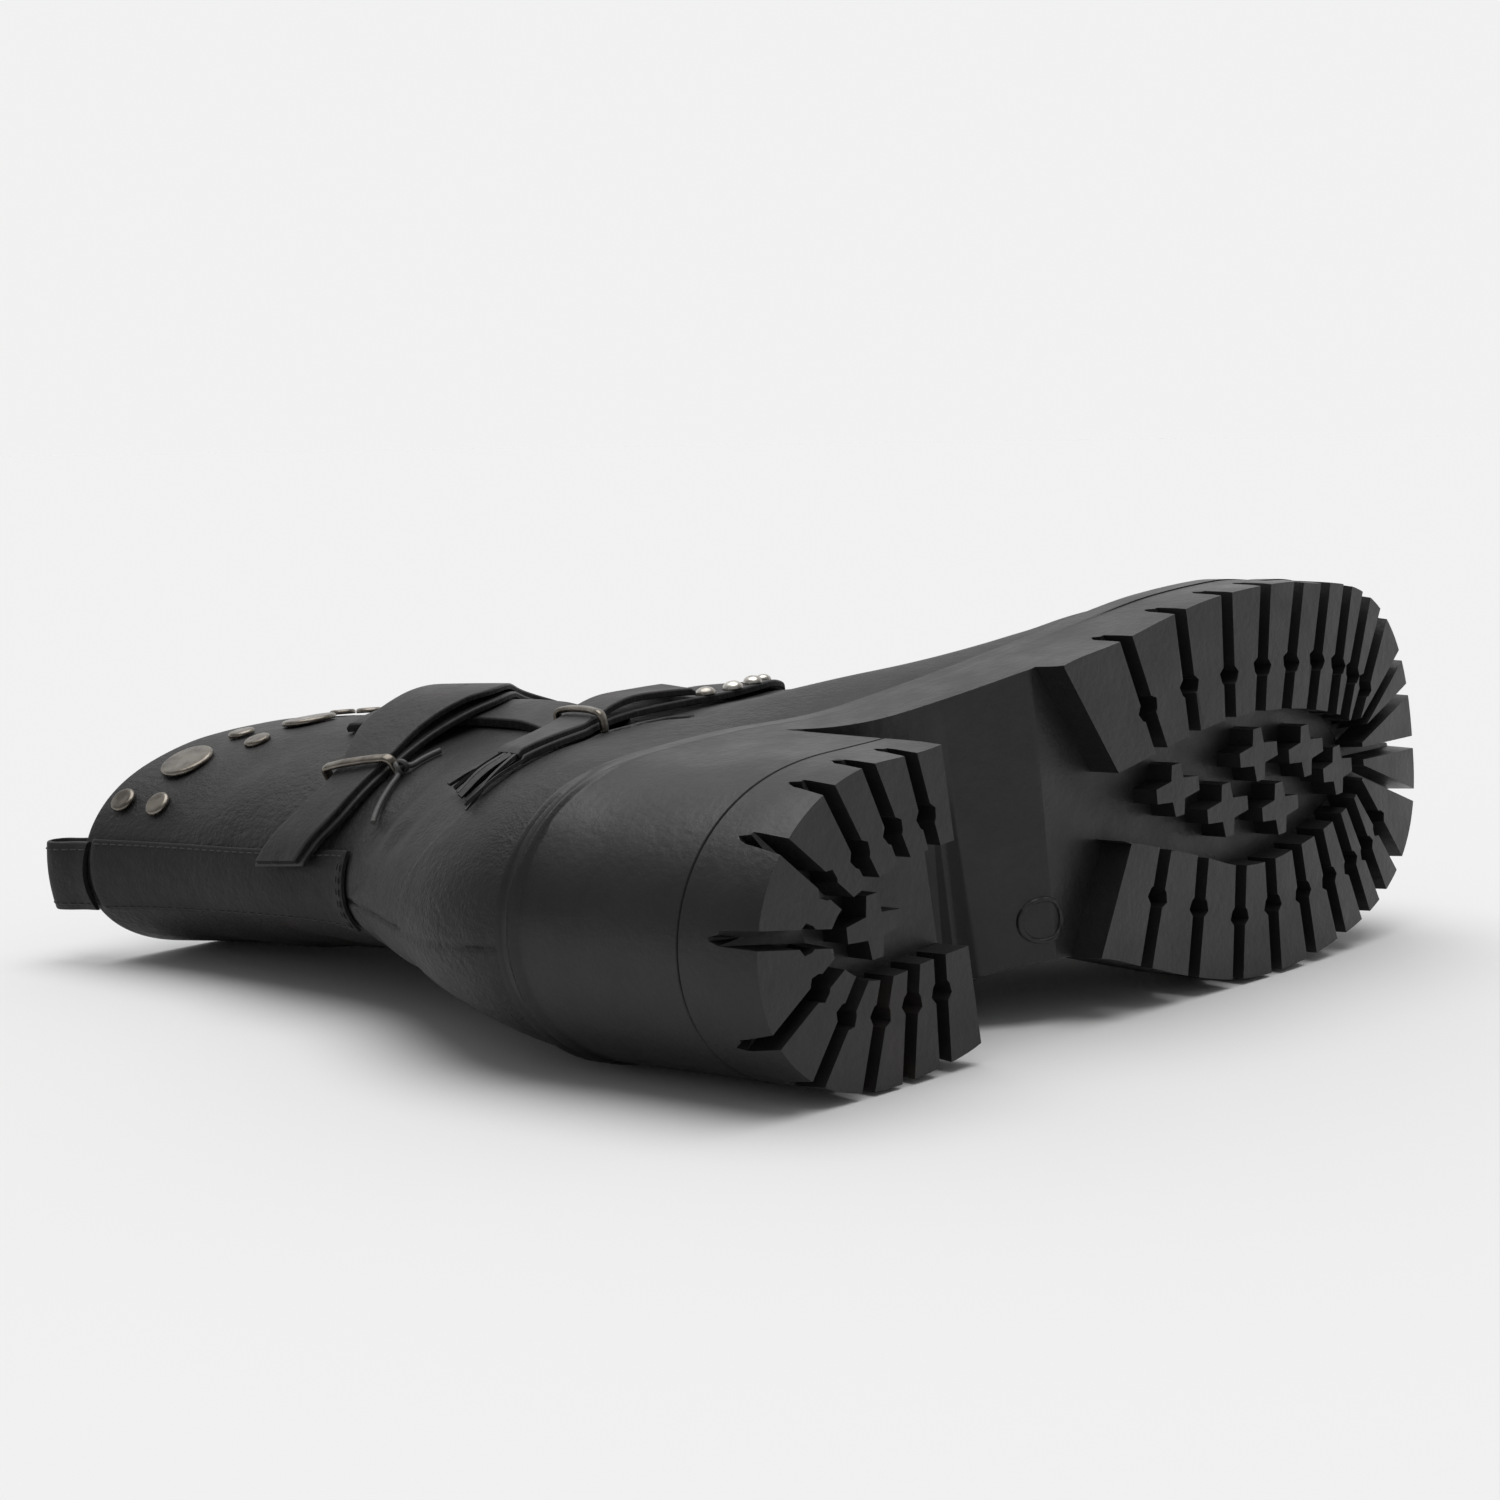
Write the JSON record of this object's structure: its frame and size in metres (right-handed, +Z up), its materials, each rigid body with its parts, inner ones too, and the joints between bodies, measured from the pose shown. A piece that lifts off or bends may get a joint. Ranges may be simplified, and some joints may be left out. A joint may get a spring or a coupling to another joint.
{
  "type": "ankle boot",
  "caption": "Black leather biker ankle boot, a right shoe lying on its inner side, with harness straps, studs, a pull loop and a lugged rubber sole.",
  "frame": {"origin": "on the ground under the middle of the lying boot's bounding box", "axes": "+X from the heel to the toe, +Y up the boot's leg from the sole to the collar, +Z up from the ground, through the boot from its inner side to its outer side"},
  "size_m": [0.2564, 0.2376, 0.09],
  "materials": {
    "sole_rubber": "black moulded rubber, dull",
    "leather": "black pebbled leather, soft sheen",
    "lining": "dark lining leather, matt",
    "antique_nickel": "aged nickel, worn"
  },
  "bodies": {
    "root": {"outsole": "sole_rubber", "upper": "leather", "insole": "lining", "heel_counter": "leather", "backstay": "leather", "pull_loop": "leather", "harness_band": "leather", "ankle_strap": "leather", "instep_strap": "leather", "keeper_thong": "leather", "ankle_keeper": "antique_nickel", "instep_keeper": "antique_nickel", "disc_stud_1": "antique_nickel", "disc_stud_2": "antique_nickel", "disc_stud_3": "antique_nickel", "disc_stud_4": "antique_nickel", "disc_stud_5": "antique_nickel", "disc_stud_6": "antique_nickel", "disc_stud_7": "antique_nickel", "disc_stud_8": "antique_nickel", "dome_stud_1": "antique_nickel", "dome_stud_2": "antique_nickel", "dome_stud_3": "antique_nickel", "dome_stud_4": "antique_nickel"}
  },
  "joints": []
}
